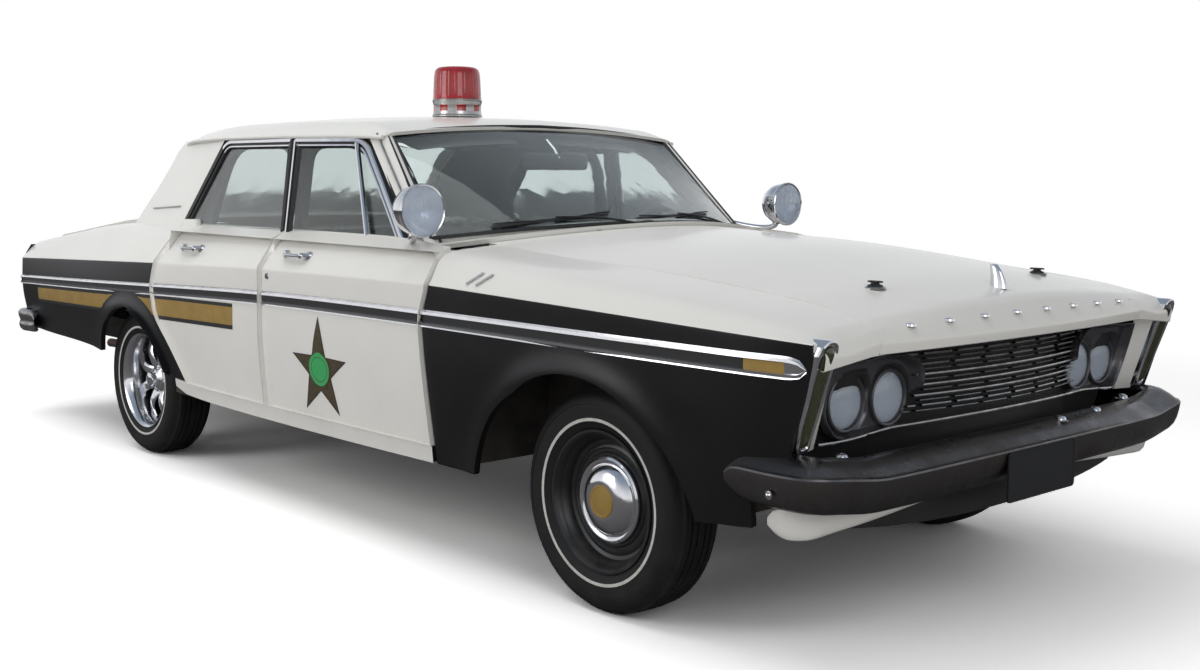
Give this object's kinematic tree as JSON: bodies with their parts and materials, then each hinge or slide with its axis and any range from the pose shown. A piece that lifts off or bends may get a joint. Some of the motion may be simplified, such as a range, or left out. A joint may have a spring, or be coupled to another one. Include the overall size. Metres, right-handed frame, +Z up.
{
  "type": "police patrol car",
  "caption": "Early-1960s full-size four-door patrol sedan, black and white, with roof beacon, spotlights, opening doors, hood and trunk, and steered front wheels.",
  "frame": {"origin": "on the floor at mid length of the car, on its centre plane", "axes": "+X forward, +Y to the car's left, +Z up"},
  "size_m": [5.207, 1.91, 1.645],
  "materials": {
    "black_paint": "gloss",
    "black_steel": "satin",
    "blank_plate": "matt",
    "cast_iron": "matt",
    "chrome": "polished",
    "dark_lens": "gloss",
    "dark_trim": "satin",
    "glass": "clear",
    "lamp_glass": "clear",
    "red_lens": "gloss",
    "seat_vinyl": "satin",
    "tyre": "matt",
    "underseal": "matt",
    "white_paint": "satin",
    "worn_chrome": "worn"
  },
  "bodies": {
    "body": {"underbody": "underseal", "cowl": "white_paint", "roof": "white_paint", "fender_right": "black_paint", "fender_left": "black_paint", "quarter_right": "black_paint", "quarter_left": "black_paint", "front_panel": "black_paint", "grille": "chrome", "headlamp_bezels": "dark_trim", "headlamps": "lamp_glass", "parking_lamps": "dark_lens", "front_bumper": "worn_chrome", "front_valance": "white_paint", "front_plate": "blank_plate", "tail_panel": "white_paint", "tail_lamps": "red_lens", "rear_bumper": "worn_chrome", "rear_deck": "white_paint", "windshield": "glass", "rear_window": "glass", "engine": "cast_iron", "front_seat": "seat_vinyl", "rear_seat": "seat_vinyl", "dashboard": "dark_trim", "steering_wheel": "dark_trim", "beacon": "red_lens", "spotlights": "chrome", "front_suspension": "cast_iron", "rear_axle": "cast_iron", "fuel_tank": "black_steel", "exhaust": "black_steel"},
    "hood": {"hood": "white_paint"},
    "trunk_lid": {"trunk_lid": "white_paint"},
    "front_door_right": {"front_door_right": "white_paint", "front_door_glass_right": "glass"},
    "rear_door_right": {"rear_door_right": "white_paint", "rear_door_glass_right": "glass"},
    "front_door_left": {"front_door_left": "white_paint", "front_door_glass_left": "glass"},
    "rear_door_left": {"rear_door_left": "white_paint", "rear_door_glass_left": "glass"},
    "knuckle_left": {"knuckle_left": "cast_iron"},
    "knuckle_right": {"knuckle_right": "cast_iron"},
    "front_wheel_right": {"front_tyre_right": "tyre", "front_wheel_right": "black_steel"},
    "front_wheel_left": {"front_tyre_left": "tyre", "front_wheel_left": "black_steel"},
    "rear_wheel_right": {"rear_tyre_right": "tyre", "rear_wheel_right": "chrome"},
    "rear_wheel_left": {"rear_tyre_left": "tyre", "rear_wheel_left": "chrome"}
  },
  "joints": [
    {"name": "hood_hinge", "type": "hinge", "parent": "body", "child": "hood", "pos_m": [1.0115, 0, 1.006], "axis": [0, -1, 0], "range_deg": [0, 50]},
    {"name": "trunk_hinge", "type": "hinge", "parent": "body", "child": "trunk_lid", "pos_m": [-1.7825, 0, 0.987], "axis": [0, 1, 0], "range_deg": [0, 60]},
    {"name": "front_door_right_hinge", "type": "hinge", "parent": "body", "child": "front_door_right", "pos_m": [1.0435, -0.942, 0.65], "axis": [0, 0, 1], "range_deg": [0, 62]},
    {"name": "rear_door_right_hinge", "type": "hinge", "parent": "body", "child": "rear_door_right", "pos_m": [0.0255, -0.942, 0.65], "axis": [0, 0, 1], "range_deg": [0, 62]},
    {"name": "front_door_left_hinge", "type": "hinge", "parent": "body", "child": "front_door_left", "pos_m": [1.0435, 0.942, 0.65], "axis": [0, 0, -1], "range_deg": [0, 62]},
    {"name": "rear_door_left_hinge", "type": "hinge", "parent": "body", "child": "rear_door_left", "pos_m": [0.0255, 0.942, 0.65], "axis": [0, 0, -1], "range_deg": [0, 62]},
    {"name": "steer_left", "type": "hinge", "parent": "body", "child": "knuckle_left", "pos_m": [1.7335, 0.64, 0.32], "axis": [0, 0, 1], "range_deg": [-30, 30]},
    {"name": "steer_right", "type": "hinge", "parent": "body", "child": "knuckle_right", "pos_m": [1.7335, -0.64, 0.32], "axis": [0, 0, 1], "range_deg": [-30, 30]},
    {"name": "front_wheel_right_spin", "type": "hinge", "parent": "knuckle_right", "child": "front_wheel_right", "pos_m": [1.7335, -0.756, 0.32], "axis": [0, 1, 0], "continuous": true},
    {"name": "front_wheel_left_spin", "type": "hinge", "parent": "knuckle_left", "child": "front_wheel_left", "pos_m": [1.7335, 0.756, 0.32], "axis": [0, 1, 0], "continuous": true},
    {"name": "rear_wheel_right_spin", "type": "hinge", "parent": "body", "child": "rear_wheel_right", "pos_m": [-1.2125, -0.752, 0.32], "axis": [0, 1, 0], "continuous": true},
    {"name": "rear_wheel_left_spin", "type": "hinge", "parent": "body", "child": "rear_wheel_left", "pos_m": [-1.2125, 0.752, 0.32], "axis": [0, 1, 0], "continuous": true}
  ],
  "couplings": [
    {"joint": "steer_right", "follows": "steer_left", "ratio": 1}
  ]
}
